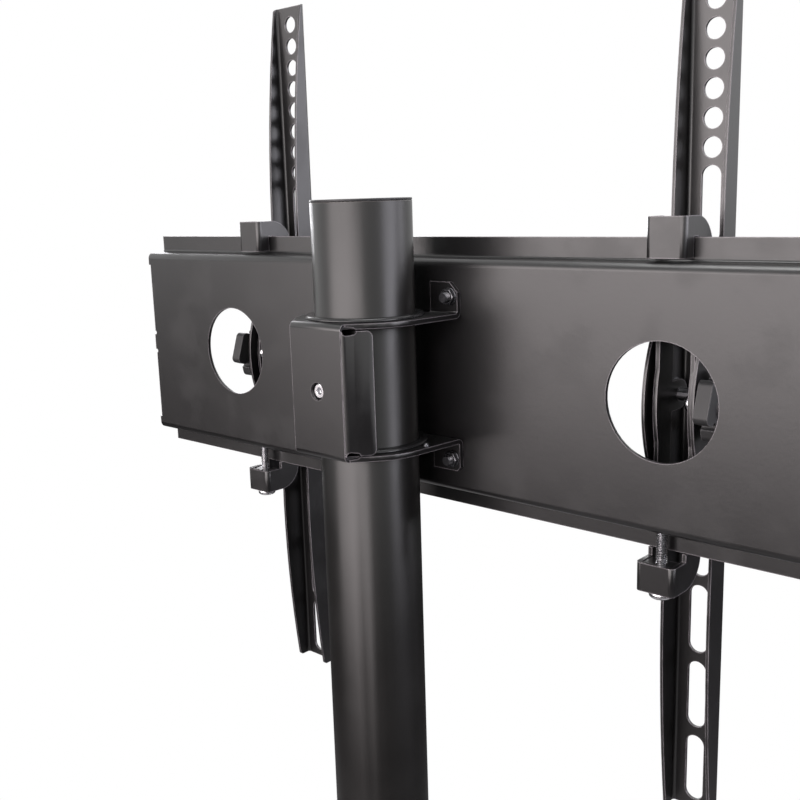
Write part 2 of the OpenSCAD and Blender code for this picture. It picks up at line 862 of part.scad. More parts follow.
// Channel whose closed side lies at Y = back, seen from above
module hook_channel(back) {
    union() {
        translate([-hook_outer + hook_bend_r, back - hook_t]) square([hook_w - 2 * hook_bend_r, hook_t]);
        for (s = [-1, 1]) {
            mirror([s > 0 ? 0 : 1, 0]) {
                translate([hook_outer - hook_bend_r, back - hook_bend_r])
                    quarter_ring(hook_bend_r, hook_bend_r - hook_t, 1, 1);
                translate([hook_inner, pivot_y - 2 * lobe_r])
                    square([hook_t, back - hook_bend_r - pivot_y + 2 * lobe_r]);
            }
        }
    }
}

module hook_body() {
    color([0.095, 0.095, 0.10])
        difference() {
            union() {
                intersection() {
                    union() {
                        linear_extrude(height = hook_top) hook_channel(hook_back);
                        translate([0, 0, block_low])
                            linear_extrude(height = -block_low) hook_channel(block_back);
                    }
                    along_x(-hook_w, hook_w) hook_side();
                }
                // Threaded tab folded forward from the block's wall
                translate([-hook_inner + side_play, block_back - thread_tab_len,
                    block_top - thread_tab_drop - hook_t])
                    cube([2 * (hook_inner - side_play), thread_tab_len - hook_t / 2, hook_t]);
            }
            translate([0, pivot_y, tilt_z]) rod_x(bolt_r + run_gap, -hook_w, hook_w);
            tilt_slot();
            translate([0, safety_y, block_top - thread_tab_drop - hook_t - over])
                cylinder(r = safety_r + run_gap, h = hook_t + 2 * over);
        }
}

// Curved slot in the knob side of the hook, round the pivot
module tilt_slot() {
    translate([0, pivot_y, tilt_z])
        intersection() {
            difference() {
                rod_x(tilt_arm + tilt_slot_r, 0, hook_w);
                rod_x(tilt_arm - tilt_slot_r, -over, hook_w + over);
            }
            rotate([90, 0, 90])
                translate([0, 0, -over])
                    linear_extrude(height = hook_w + 2 * over)
                        polygon([[0, 0],
                            [2 * tilt_arm, -2 * tilt_arm * tan(tilt_slot_deg)],
                            [2 * tilt_arm, 2 * tilt_arm * tan(tilt_slot_deg)]]);
        }
    for (s = [-1, 1]) {
        translate([0, pivot_y + tilt_arm * cos(tilt_slot_deg),
            tilt_z + s * tilt_arm * sin(tilt_slot_deg)])
            rod_x(tilt_slot_r, 0, hook_w);
    }
}

// Side of an arm, Y across and Z up
module arm_side() {
    difference() {
        union() {
            intersection() {
                translate([arm_neck_top - arm_end_top_r, arm_neck_top_z])
                    circle(r = arm_end_top_r, $fn = 720);
                translate([-arm_face, arm_neck_top_z]) square([arm_face, arm_top - arm_neck_top_z]);
            }
            polygon([[-arm_face, arm_neck_low_z], [arm_neck_low, arm_neck_low_z],
                [arm_neck_top, arm_neck_top_z], [-arm_face, arm_neck_top_z]]);
            intersection() {
                translate([arm_neck_low - arm_end_low_r, arm_neck_low_z])
                    circle(r = arm_end_low_r, $fn = 720);
                translate([-arm_face, arm_low]) square([arm_face, arm_neck_low_z - arm_low]);
            }
            intersection() {
                translate([arm_belly - belly_r, belly_mid]) circle(r = belly_r, $fn = 360);
                translate([-arm_face, -belly_r]) square([arm_face, 2 * belly_r]);
            }
        }
        translate([arm_end_top, arm_top]) end_corner();
        translate([arm_end_low, arm_low]) mirror([0, 1]) end_corner();
    }
}

// What is cut away from the rear corner at an arm's upper end, the corner at the origin
module end_corner() {
    translate([arm_corner_out - arm_corner_r, arm_corner_out - arm_corner_r])
        difference() {
            square([arm_corner_r + over, arm_corner_r + over]);
            circle(r = arm_corner_r);
        }
}

// Cross-section of an arm's channel, seen from above
module arm_channel() {
    half = arm_w / 2;
    reach = arm_face + arm_belly;
    union() {
        for (s = [-1, 1]) {
            mirror([s > 0 ? 0 : 1, 0]) {
                translate([half - arm_bend_r, -arm_face + arm_bend_r])
                    quarter_ring(arm_bend_r, arm_bend_r - arm_t, 1, -1);
                translate([arm_inner, -arm_face + arm_bend_r])
                    square([arm_t, reach]);
            }
        }
        translate([-half + arm_bend_r, -arm_face]) square([arm_w - 2 * arm_bend_r, arm_t]);
    }
}

module arm_body() {
    color([0.085, 0.085, 0.09])
        difference() {
            intersection() {
                translate([0, 0, arm_low]) linear_extrude(height = arm_len) arm_channel();
                along_x(-arm_w, arm_w) arm_side();
            }
            for (i = [0 : arm_holes - 1]) {
                translate([0, 0, arm_top - arm_hole_first - i * arm_hole_pitch])
                    rod_y(arm_hole_r, -arm_face - over, arm_back + over);
            }
            for (i = [0 : arm_slots - 1]) {
                translate([0, 0, arm_low + arm_slot_end + i * arm_slot_pitch]) arm_slot();
            }
            translate([0, pivot_y, tilt_z]) rod_x(bolt_r + run_gap, -arm_w, arm_w);
            translate([0, tilt_bolt_y, tilt_z]) rod_x(bolt_r + rest_gap, 0, arm_w);
        }
}

// One slot through the arm's web, starting at Z = 0
module arm_slot() {
    union() {
        translate([0, 0, arm_hole_r]) rod_y(arm_hole_r, -arm_face - over, arm_back + over);
        translate([0, 0, arm_slot_len - arm_hole_r])
            rod_y(arm_hole_r, -arm_face - over, arm_back + over);
        translate([-arm_hole_r, -arm_face - over, arm_hole_r])
            cube([2 * arm_hole_r, arm_t + 2 * over, arm_slot_len - 2 * arm_hole_r]);
    }
}

module pivot_pin() {
    head_at = arm_w / 2 + side_play;
    color([0.45, 0.46, 0.48])
        translate([0, pivot_y, tilt_z])
            union() {
                rod_x(bolt_r, -head_at - over, head_at + over);
                rod_x(pivot_head_r, head_at, head_at + pivot_head_t);
                rod_x(pivot_head_r, -head_at - pivot_head_t, -head_at);
            }
}

module pivot_washers() {
    color([0.30, 0.29, 0.27])
        for (s = [-1, 1]) {
            translate([0, pivot_y, tilt_z])
                difference() {
                    rod_x(pivot_washer_r, s > 0 ? hook_outer : -hook_outer - pivot_washer_t,
                        s > 0 ? hook_outer + pivot_washer_t : -hook_outer);
                    rod_x(bolt_r + rest_gap, -hook_w, hook_w);
                }
        }
}

module tilt_bolt() {
    head_at = hook_inner - side_play;
    color([0.62, 0.63, 0.65])
        translate([0, tilt_bolt_y, tilt_z])
            union() {
                rod_x(bolt_r, head_at - over, knob_start + knob_bore_h - rest_gap);
                translate([head_at - tilt_head_h, 0, 0])
                    rotate([0, 90, 0])
                        cylinder(r1 = tilt_head_r * tilt_head_share, r2 = tilt_head_r, h = tilt_head_h);
            }
}

module knob_washer() {
    color([0.50, 0.51, 0.53])
        translate([0, tilt_bolt_y, tilt_z])
            difference() {
                rod_x(knob_washer_r, arm_w / 2, arm_w / 2 + knob_washer_t);
                rod_x(bolt_r + rest_gap, arm_w / 2 - over, arm_w / 2 + knob_washer_t + over);
            }
}

// Outline of the knob: lobes with round corners, and a round notch between two lobes.
// One lobe points along the drawing's first axis.
module knob_outline() {
    far = knob_r - knob_corner_r;
    side = knob_lobe_half - knob_corner_r;
    root = knob_lobe_half / sin(turn / 2 / knob_lobes);
    lobe = concat(arc_points(far, -side, knob_corner_r, -90, 0),
        arc_points(far, side, knob_corner_r, 0, 90),
        [[root * cos(turn / 2 / knob_lobes), root * sin(turn / 2 / knob_lobes)]]);
    difference() {
        polygon([for (i = [0 : knob_lobes - 1]) for (p = lobe) let (a = i * turn / knob_lobes)
            [p[0] * cos(a) - p[1] * sin(a), p[0] * sin(a) + p[1] * cos(a)]]);
        for (i = [0 : knob_lobes - 1]) {
            rotate([0, 0, (i + 1 / 2) * turn / knob_lobes])
                translate([root, 0])
                    circle(r = knob_notch_r);
        }
    }
}

module knob() {
    lobed = knob_start + knob_hub_h;
    color([0.05, 0.05, 0.05])
        translate([0, tilt_bolt_y, tilt_z])
            difference() {
                union() {
                    rod_x(knob_hub_r, knob_start, lobed + over);
                    rotate([knob_turn_deg, 0, 0])
                        along_x(lobed, lobed + knob_t) knob_outline();
                    rod_x(knob_hub_r, lobed + over, lobed + knob_t + knob_cap_h);
                }
                rod_x(bolt_r + run_gap, knob_start - over, knob_start + knob_bore_h);
            }
}

module safety_screw() {
    color([0.62, 0.63, 0.65])
        translate([0, safety_y, 0])
            difference() {
                union() {
                    translate([0, 0, safety_head_top - over])
                        cylinder(r = safety_r, h = safety_tip - safety_head_top + over);
                    translate([0, 0, safety_head_top - safety_head_h])
                        cylinder(r = safety_head_r, h = safety_head_h);
                }
                translate([-safety_head_r - over, -safety_slot_w / 2,
                    safety_head_top - safety_head_h - over])
                    cube([2 * safety_head_r + 2 * over, safety_slot_w, safety_slot_h + over]);
            }
}

module hook_left() {
    on_left() hook_body();
}

module hook_right() {
    on_right() hook_body();
}

module arm_left() {
    on_left() arm_body();
}

module arm_right() {
    on_right() arm_body();
}

module pivot_pin_left() {
    on_left() pivot_pin();
}

module pivot_pin_right() {
    on_right() pivot_pin();
}

module pivot_washers_left() {
    on_left() pivot_washers();
}

module pivot_washers_right() {
    on_right() pivot_washers();
}

module tilt_bolt_left() {
    on_left() tilt_bolt();
}

module tilt_bolt_right() {
    on_right() tilt_bolt();
}

module knob_washer_left() {
    on_left() knob_washer();
}

module knob_washer_right() {
    on_right() knob_washer();
}

module knob_left() {
    on_left() knob();
}

module knob_right() {
    on_right() knob();
}

module safety_screw_left() {
    on_left() safety_screw();
}

module safety_screw_right() {
    on_right() safety_screw();
}

base_plate();
base_pads();
pole_foot();
foot_bolts();
foot_screws();
pole();
pole_cap();
upper_bush();
lower_bush();
collar_bracket();
lock_nut();
lock_screw();
flange_rivet();
rail();
rail_bolts();
rail_washers();
rail_nuts();
hook_left();
hook_right();
arm_left();
arm_right();
pivot_pin_left();
pivot_pin_right();
pivot_washers_left();
pivot_washers_right();
tilt_bolt_left();
tilt_bolt_right();
knob_washer_left();
knob_washer_right();
knob_left();
knob_right();
safety_screw_left();
safety_screw_right();
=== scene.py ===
"""Looks of a television stand with a mount: coated sheet steel, a painted pole and zinc screws.

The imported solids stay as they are. They get rounded edges and finishes here, and the screws, nuts
and the rivet get threads, chamfers and sockets of their own. Lengths are in metres.
"""

import math
from collections import namedtuple

import bmesh
import bpy
from bpy.props import FloatProperty, FloatVectorProperty, IntProperty, PointerProperty
from mathutils import Matrix, Vector


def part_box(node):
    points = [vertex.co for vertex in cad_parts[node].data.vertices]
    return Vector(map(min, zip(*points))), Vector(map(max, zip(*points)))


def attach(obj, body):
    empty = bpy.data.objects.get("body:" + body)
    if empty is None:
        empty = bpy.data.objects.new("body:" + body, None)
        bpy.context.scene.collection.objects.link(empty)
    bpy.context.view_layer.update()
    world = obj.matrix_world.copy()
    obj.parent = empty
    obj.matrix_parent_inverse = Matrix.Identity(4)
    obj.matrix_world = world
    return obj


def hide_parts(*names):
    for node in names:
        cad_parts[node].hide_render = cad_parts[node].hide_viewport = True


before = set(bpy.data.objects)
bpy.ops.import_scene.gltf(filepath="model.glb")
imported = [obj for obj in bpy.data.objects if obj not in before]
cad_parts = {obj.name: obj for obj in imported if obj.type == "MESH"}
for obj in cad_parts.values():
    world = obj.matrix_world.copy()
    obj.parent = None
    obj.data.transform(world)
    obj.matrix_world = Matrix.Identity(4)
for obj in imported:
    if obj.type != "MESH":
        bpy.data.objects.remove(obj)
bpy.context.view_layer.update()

bl_info = {
    "name": "Television stand with mount",
    "version": (1, 0, 0),
    "blender": (4, 5, 0),
    "location": "View3D > Sidebar > Stand",
    "description": "Finishes, screws and studio of a television stand with a tilting mount",
    "category": "Object",
}

FULL_TURN = 2 * math.pi

# The photograph's viewpoint and its axes
CAMERA_PLACE = Vector((-0.35207, 0.35520, 1.29838))
CAMERA_RIGHT = Vector((-0.73625, -0.67605, -0.03013))
CAMERA_UP = Vector((0.10919, -0.16262, 0.98063))
CAMERA_BACK = Vector((-0.66785, 0.71869, 0.19355))
CAMERA_LENS_MM = 45.417
CAMERA_SENSOR_MM = 36.0
CAMERA_NEAR = 0.01
CAMERA_FAR = 100.0

# Soft boxes that stand round the object. The bearing is in degrees from +X, low and high are the
# heights of the box's edges, and glow is how bright its face looks before the spread narrows it
SoftBox = namedtuple("SoftBox", "name bearing reach low high width glow tint")
LAMPS = (
    SoftBox("soft_box_rear", bearing=81, reach=2.6, low=0.58, high=2.8, width=4.0, glow=2.5,
            tint=(1.0, 0.92, 0.92)),
    SoftBox("soft_box_right", bearing=200, reach=2.6, low=1.05, high=2.8, width=2.8, glow=2.4,
            tint=(0.93, 0.91, 1.0)),
    SoftBox("soft_box_left", bearing=326, reach=2.8, low=0.7, high=2.5, width=1.6, glow=3.2,
            tint=(0.97, 0.96, 1.0)),
    SoftBox("soft_box_front", bearing=280, reach=3.0, low=2.2, high=3.6, width=2.4, glow=1.6,
            tint=(1.0, 1.0, 1.0)),
)
LAMP_SPREAD_DEG = 130
TOP_LAMP_HEIGHT = 3.2
TOP_LAMP_SIDE = 1.1
TOP_LAMP_GLOW = 3.3
WHITE = (1.0, 1.0, 1.0)
WHITE_GLOW = 1.0
WORLD_GLOW = 0.10

# The floor is lit near the stand and plain white further out, from one distance to the other. In
# mirrors it turns white only far away
FLOOR_RADIUS = 30.0
FLOOR_SIDES = 64
FLOOR_LIT = 0.3
FLOOR_WHITE = 1.5
MIRROR_LIT = 12.0
MIRROR_WHITE = 24.0
# Painted shade: the floor's colour darkens away from the stand, in place of the lamps' light
# falling off, so that mirrors show a darker floor. Where it falls off, and to which share
FLOOR_FALL_START = 0.8
FLOOR_FALL_END = 2.4
FLOOR_FALL = 0.18

# Where the turned normal of an edge starts to count as a worn edge with a painted highlight, and
# where it counts in full
EDGE_START = 0.025
EDGE_FULL = 0.11
EDGE_SAMPLES = 6

# How packed triangles are joined, and which edges count as sharp
WELD_REACH = 0.000002
FLAT_DEG = 0.6
SHARP_DEG = 32
# How near points count as one: in a new shape, at a cut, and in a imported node
SAME_PLACE = 1e-7
SAME_CUT = 1e-8
SAME_SOLID = 1e-6

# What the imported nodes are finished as
SHEET_NODES = ("collar_bracket", "rail", "arm_left", "arm_right", "hook_left", "hook_right")
FOOT_NODES = ("base_plate", "pole_foot")
BUSH_NODES = ("upper_bush", "lower_bush")
KNOB_NODES = ("knob_left", "knob_right")
SIDES = ("left", "right")

# Rounding of single pieces, as shares of the small edge's rounding
BUSH_ROUND = 2
LOCK_SCREW_ROUND = 1.6
PIN_ROUND = 1.4
RAIL_WASHER_ROUND = 0.8
KNOB_SEGMENTS = 4
# The foot's orange peel, as a share of the folded sheets'
FOOT_PEEL = 1.4

# One turn of a thread, as shares of the pitch and of the groove's depth
THREAD_TURN = ((0.0, 1.0), (0.12, 1.0), (0.44, 0.0), (0.58, 0.0), (0.90, 1.0))
# Extra turns, which are cut off again, and how many of them lie before the start
SPARE_TURNS = 3
TURNS_BEFORE = 2
# The least a thread's end may taper to, as a share of its radius
TAPER_LEAST = 0.78

# Profiles of the heads from the outer face inwards, as shares of their radius and height
BUTTON_HEAD = ((0.62, 0), (0.86, 0.16), (0.97, 0.48), (1, 0.8), (1, 1))
RIVET_HEAD = ((0, 1), (0.3, 0.96), (0.6, 0.80), (0.84, 0.52), (0.97, 0.2), (1, 0))
TILT_HEAD = ((0.68, 0.16), (0.86, 0.42), (0.97, 0.74), (1, 0.92), (0.98, 1))
SAFETY_HEAD = ((0, 0), (0.5, 0), (0.82, 0.08), (0.95, 0.26), (1, 0.5), (1, 0.9), (0.96, 1), (0, 1))

# Rail bolts: the head, its hexagonal socket as radii and shares of the head's height, the
# socket's rim and lead-in as (radius, depth), and how far the hexagon reaches into the head
BOLT_HEAD_H = 0.0028
BOLT_SOCKET = ((0, 0.45), (0.0015, 0.45), (0.00172, 0.3))
BOLT_SOCKET_RIM = (0.00178, 0.0001)
BOLT_SOCKET_LEAD = (0.0019, 0)
BOLT_SOCKET_ACROSS = 0.003
BOLT_SOCKET_REACH_R = 0.00185
BOLT_SOCKET_REACH = 0.5
# The core that the thread starts on, as a share of the shank, and its overlap with the thread
BOLT_CORE_SHARE = 0.9
BOLT_CORE_OVERLAP = 0.0005
# The thread starts this far before the washer, and tapers at the free end
BOLT_THREAD_AHEAD = 0.001
BOLT_TAPER_LENGTH = 0.0007
BOLT_TAPER_DEPTH = 0.0005
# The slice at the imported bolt's free end that its radius is measured in
BOLT_END_SLICE = 0.00001

# Rail nuts: the bore, and its lead-in as shares of the bore and of the nut's height
NUT_BORE_R = 0.00255
NUT_LEAD_SHARE = 1.12
NUT_LEAD_DEPTH = 0.1
# The chamfer's drop as a share of the nut's height, and the chamfer as shares of the half width
# and the drop. Points nearer to the axis than the core stay round
NUT_DROP_SHARE = 0.14
NUT_CHAMFER = ((0.97, 0), (1.02, 0.25), (1.08, 0.55))
NUT_CORE_SHARE = 0.9

# The rivet's head, and its shank as a share of the head
RIVET_HEAD_H = 0.0016
RIVET_SHANK_SHARE = 0.55

# Tilt bolts: the head, its round socket as radii and shares of the head's height, the rim where
# the dome starts, and the shank
TILT_HEAD_H = 0.0032
TILT_SOCKET = ((0, 0.42), (0.0012, 0.40), (0.0014, 0.10), (0.0016, 0.03))
TILT_RIM_SHARE = 0.45
TILT_RIM_DEPTH = 0.0001
TILT_SHANK_R = 0.003
TILT_END_CHAMFER = 0.0004

# Safety screws: the slotted head, the shank, and the thread's start as a share of the head
SAFETY_HEAD_H = 0.003
SAFETY_SHANK_R = 0.0025
SAFETY_THREAD_START = 0.8
SAFETY_TAPER_LENGTH = 0.0008
SAFETY_TAPER_DEPTH = 0.0006
SLOT_WIDTH = 0.0012
SLOT_DEPTH = 0.0013

# Steps in one turn of the heads and nuts, and the angles in degrees that stay smooth
BOLT_STEPS = 36
NUT_STEPS = 72
ROUND_HEAD_STEPS = 40
RIVET_STEPS = 28
SMOOTH_DEG = 40
NUT_SMOOTH_DEG = 20
TILT_SMOOTH_DEG = 45
RIVET_SMOOTH_DEG = 50


# Sizes and colours that can be changed


class StandColours(bpy.types.PropertyGroup):
    """Colours of the stand's finishes."""

    powder: FloatVectorProperty(
        name="Powder coat", description="Colour of the folded sheet pieces", subtype="COLOR",
        size=3, min=0, max=1, default=(0.0056, 0.0052, 0.0056))
    pole: FloatVectorProperty(
        name="Pole paint", description="Colour of the pole", subtype="COLOR",
        size=3, min=0, max=1, default=(0.0046, 0.0041, 0.0039))
    zinc: FloatVectorProperty(
        name="Zinc", description="Colour of the bright screws", subtype="COLOR",
        size=3, min=0, max=1, default=(0.66, 0.66, 0.68))
    steel: FloatVectorProperty(
        name="Dark steel", description="Colour of the oiled bolts and nuts", subtype="COLOR",
        size=3, min=0, max=1, default=(0.15, 0.15, 0.16))
    plastic: FloatVectorProperty(
        name="Moulded plastic", description="Colour of the knobs, the bushes and the cap",
        subtype="COLOR", size=3, min=0, max=1, default=(0.018, 0.018, 0.019))
    rubber: FloatVectorProperty(
        name="Rubber", description="Colour of the pads under the foot plate", subtype="COLOR",
        size=3, min=0, max=1, default=(0.022, 0.021, 0.020))
    floor: FloatVectorProperty(
        name="Floor", description="Colour of the studio floor", subtype="COLOR",
        size=3, min=0, max=1, default=(0.50, 0.50, 0.50))


class StandSizes(bpy.types.PropertyGroup):
    """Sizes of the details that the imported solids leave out."""

    sheet_round: FloatProperty(
        name="Sheet edge", description="Rounding of the sheet pieces' cut edges",
        unit="LENGTH", min=0.0001, max=0.001, default=0.0004)
    plate_round: FloatProperty(
        name="Plate edge", description="Rounding of the foot plate's and the socket's edges",
        unit="LENGTH", min=0.0002, max=0.003, default=0.001)
    knob_round: FloatProperty(
        name="Knob edge", description="Rounding of the knobs' edges",
        unit="LENGTH", min=0.0002, max=0.002, default=0.0009)
    small_round: FloatProperty(
        name="Small edge", description="Rounding of the pole, the cap and the small pieces",
        unit="LENGTH", min=0.00005, max=0.0008, default=0.00025)
    thread_pitch: FloatProperty(
        name="Thread pitch", description="Distance between two turns of a thread",
        unit="LENGTH", min=0.0005, max=0.0015, default=0.0008)
    thread_depth: FloatProperty(
        name="Thread depth", description="Depth of a thread's groove",
        unit="LENGTH", min=0.0002, max=0.0008, default=0.00042)
    thread_steps: IntProperty(
        name="Thread steps", description="Steps in one turn of a thread", min=12, max=64,
        default=30)
    peel: FloatProperty(
        name="Orange peel", description="Strength of the powder coat's fine waves",
        min=0, max=1, default=0.09)


# Shader maths


class Value:
    """A number, colour, vector or shader that a node gives."""

    def __init__(self, graph, socket):
        self.graph = graph
        self.socket = socket

    def __add__(self, other):
        return self.graph.maths("ADD", self, other)

    def __radd__(self, other):
        return self.graph.maths("ADD", other, self)

    def __sub__(self, other):
        return self.graph.maths("SUBTRACT", self, other)

    def __rsub__(self, other):
        return self.graph.maths("SUBTRACT", other, self)

    def __mul__(self, other):
        return self.graph.maths("MULTIPLY", self, other)

    def __rmul__(self, other):
        return self.graph.maths("MULTIPLY", other, self)

    def __truediv__(self, other):
        return self.graph.maths("DIVIDE", self, other)

    def __rtruediv__(self, other):
        return self.graph.maths("DIVIDE", other, self)


class Graph:
    """A tree of shader nodes."""

    def __init__(self, tree, output):
        self.tree = tree
        tree.nodes.clear()
        self.output = tree.nodes.new(output)

    def put(self, socket, value):
        """Links a Value to a socket, or sets the socket's own number."""
        if isinstance(value, Value):
            self.tree.links.new(value.socket, socket)
        elif isinstance(value, (tuple, list)) and len(value) < len(socket.default_value):
            socket.default_value = (*value, 1.0)
        else:
            socket.default_value = value

    def node(self, kind, settings=None, inputs=None, output=0):
        """Adds a node and returns one of its outputs as a Value."""
        made = self.tree.nodes.new(kind)
        for key, value in (settings or {}).items():
            setattr(made, key, value)
        for key, value in (inputs or {}).items():
            self.put(made.inputs[key], value)
        return Value(self, made.outputs[output])

    def maths(self, operation, first, second):
        return self.node("ShaderNodeMath", {"operation": operation}, {0: first, 1: second})

    def larger(self, first, second):
        """The larger one of two numbers."""
        return self.maths("MAXIMUM", first, second)

    def ray(self, kind):
        """1 for rays of a kind, such as Camera, Glossy or Transmission."""
        return self.node("ShaderNodeLightPath", output=f"Is {kind} Ray")

    def blend(self, share, first, second):
        """A shader between two shaders."""
        return self.node("ShaderNodeMixShader", {}, {0: share, 1: first, 2: second})

    def show(self, shader):
        """Makes a shader the tree's surface."""
        self.put(self.output.inputs["Surface"], shader)


class Finish(Graph):
    """A material made of nodes round one Principled shader."""

    def __init__(self, name, metallic=0.0, ior=1.45):
        self.material = bpy.data.materials.new(name)
        self.material.use_nodes = True
        super().__init__(self.material.node_tree, "ShaderNodeOutputMaterial")
        self.shader = self.tree.nodes.new("ShaderNodeBsdfPrincipled")
        self.shader.inputs["Metallic"].default_value = metallic
        self.shader.inputs["IOR"].default_value = ior
        self.shaded = Value(self, self.shader.outputs[0])
        self.show(self.shaded)

    def place(self):
        """Where a point of the piece is."""
        return self.node("ShaderNodeTexCoord", output=3)

    def noise(self, scale, detail=2.0, roughness=0.5, stretch=None):
        """Cloudy values from 0 to 1, with scale clouds in a metre."""
        where = self.place()
        if stretch:
            where = self.node("ShaderNodeMapping", {}, {"Vector": where, "Scale": stretch})
        return self.node(
            "ShaderNodeTexNoise", {"noise_dimensions": "3D"},
            {"Vector": where, "Scale": scale, "Detail": detail, "Roughness": roughness})

    def ramp(self, value, low, high):
        """0 below low, 1 above high, smooth between them."""
        return self.node(
            "ShaderNodeMapRange", {"interpolation_type": "SMOOTHSTEP"},
            {0: value, 1: low, 2: high, 3: 0.0, 4: 1.0})

    def mix(self, share, first, second):
        """A colour between two colours."""
        return self.node(
            "ShaderNodeMix", {"data_type": "RGBA"}, {0: share, 6: first, 7: second}, output=2)

    def edge(self, radius):
        """1 on edges sharper than the radius, 0 on flat faces."""
        rounded = self.node("ShaderNodeBevel", {"samples": EDGE_SAMPLES}, {"Radius": radius})
        flat = self.node("ShaderNodeNewGeometry", output=1)
        same = self.node(
            "ShaderNodeVectorMath", {"operation": "DOT_PRODUCT"}, {0: rounded, 1: flat},
            output=1)
        return self.ramp(1 - same, low=EDGE_START, high=EDGE_FULL)

    def surface(self, colour, roughness, height=None, depth=0.0002, strength=0.2):
        """Sets what varies over the surface."""
        self.put(self.shader.inputs["Base Color"], colour)
        self.put(self.shader.inputs["Roughness"], roughness)
        if height is not None:
            bump = self.node(
                "ShaderNodeBump", {}, {"Strength": strength, "Distance": depth, "Height": height})
            self.put(self.shader.inputs["Normal"], bump)
        return self.material


def shade(colour, factor):
    """A colour made lighter or darker."""
    return tuple(min(1.0, part * factor) for part in colour)


# Finishes


def powder_coat(name, colour, peel, roughness=0.32):
    """Satin powder coat: fine waves, faint clouds, pinhead specks, and worn edges with a painted
    highlight along them.
    """
    finish = Finish(name, ior=1.60)
    clouds = finish.noise(scale=14, detail=4.0, roughness=0.6)
    fine = finish.noise(scale=420)
    specks = finish.ramp(finish.noise(scale=2300, detail=1.0), low=0.66, high=0.74)
    edge_breakup = finish.ramp(finish.noise(scale=90, detail=3.0), low=0.18, high=0.50)
    edge_wear_and_highlight = finish.edge(radius=0.0009) * edge_breakup
    smudge = finish.ramp(finish.noise(scale=34, detail=4.0, roughness=0.60), low=0.46, high=0.66)
    tone = finish.mix(clouds, shade(colour, 0.80), shade(colour, 1.22))
    tone = finish.mix(specks * 0.20, tone, shade(colour, 2.6))
    # Painted highlight along the sharp edges, in place of light caught by their rounding, partly
    # also worn paint
    tone = finish.mix(edge_wear_and_highlight * 0.85, tone, shade(colour, 52))
    rough = roughness - 0.04 + clouds * 0.06 + fine * 0.02 + smudge * 0.06
    waves = finish.noise(scale=640, detail=1.0) + fine * 0.6
    return finish.surface(tone, rough, height=waves, depth=0.00022, strength=peel)


def pole_paint(name, colour):
    """Smooth satin paint with soft blotches, lengthwise streaks, and worn edges with a painted
    highlight along them.
    """
    finish = Finish(name, ior=1.53)
    blotches = finish.noise(scale=30, detail=3.0, roughness=0.55)
    streaks = finish.noise(scale=160, detail=3.0, stretch=(1.0, 1.0, 0.02))
    specks = finish.ramp(finish.noise(scale=2600, detail=1.0), low=0.68, high=0.75)
    edge_wear_and_highlight = finish.edge(radius=0.0010) * 0.9
    tone = finish.mix(blotches, shade(colour, 0.72), shade(colour, 1.35))
    tone = finish.mix(streaks * 0.35, tone, shade(colour, 1.5))
    tone = finish.mix(specks * 0.18, tone, shade(colour, 3.0))
    # Painted highlight along the sharp edges, in place of light caught by their rounding, partly
    # also worn paint
    tone = finish.mix(edge_wear_and_highlight * 0.8, tone, shade(colour, 50))
    rough = 0.25 + blotches * 0.12 + streaks * 0.05
    grain = finish.noise(scale=520)
    return finish.surface(tone, rough, height=grain, depth=0.00015, strength=0.12)


def bright_metal(name, colour, roughness):
    """Plated screw metal with faint turning marks and dull patches."""
    finish = Finish(name, metallic=1.0, ior=2.5)
    clouds = finish.noise(scale=240, detail=3.0, roughness=0.55)
    grain = finish.noise(scale=1800, detail=3.0)
    dull = finish.ramp(finish.noise(scale=520, detail=4.0), low=0.50, high=0.72)
    tone = finish.mix(clouds, shade(colour, 0.82), shade(colour, 1.10))
    tone = finish.mix(dull * 0.45, tone, shade(colour, 0.55))
    rough = roughness - 0.04 + grain * 0.10 + dull * 0.16
    return finish.surface(tone, rough, height=grain, depth=0.00006, strength=0.25)


def moulded_plastic(name, colour, roughness, grain_depth=0.00008):
    """Moulded plastic with a fine spark-eroded grain, and worn edges with a painted highlight along
    them.
    """
    finish = Finish(name, ior=1.46)
    clouds = finish.noise(scale=60, detail=3.0)
    grain = finish.noise(scale=1900)
    edge_wear_and_highlight = finish.edge(radius=0.0008)
    tone = finish.mix(clouds, shade(colour, 0.8), shade(colour, 1.3))
    # Painted highlight along the sharp edges, in place of light caught by their rounding, partly
    # also worn plastic
    tone = finish.mix(edge_wear_and_highlight * 0.5, tone, shade(colour, 16))
    rough = roughness - 0.05 + clouds * 0.07 + grain * 0.07 - edge_wear_and_highlight * 0.06
    return finish.surface(tone, rough, height=grain, depth=grain_depth, strength=0.30)


def rubber(name, colour):
    """Matt rubber with dust in its pores."""
    finish = Finish(name)
    pores = finish.noise(scale=900, detail=3.0)
    dust = finish.ramp(finish.noise(scale=70, detail=5.0), low=0.45, high=0.75)
    tone = finish.mix(pores, shade(colour, 0.75), shade(colour, 1.3))
    tone = finish.mix(dust * 0.30, tone, shade(colour, 4.0))
    rough = 0.72 + dust * 0.15
    return finish.surface(tone, rough, height=pores, depth=0.0002, strength=0.35)


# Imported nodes


def coat_node(name, material):
    """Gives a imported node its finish."""
    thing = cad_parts[name]
    thing.data.materials.clear()
    thing.data.materials.append(material)
    return thing


def soften(thing, width, segments=2):
    """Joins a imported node's triangles and rounds its sharp edges."""
    weld = thing.modifiers.new("join triangles", "WELD")
    weld.merge_threshold = WELD_REACH
    flat = thing.modifiers.new("merge flat faces", "DECIMATE")
    flat.decimate_type = "DISSOLVE"
    flat.angle_limit = math.radians(FLAT_DEG)
    flat.delimit = {"SHARP"}
    round_off = thing.modifiers.new("round edges", "BEVEL")
    round_off.width = width
    round_off.segments = segments
    round_off.limit_method = "ANGLE"
    round_off.angle_limit = math.radians(SHARP_DEG)
    round_off.use_clamp_overlap = True
    round_off.harden_normals = True


def finish_nodes(names, material, width, segments=2):
    """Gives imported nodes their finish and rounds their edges."""
    for name in names:
        soften(coat_node(name, material), width, segments)


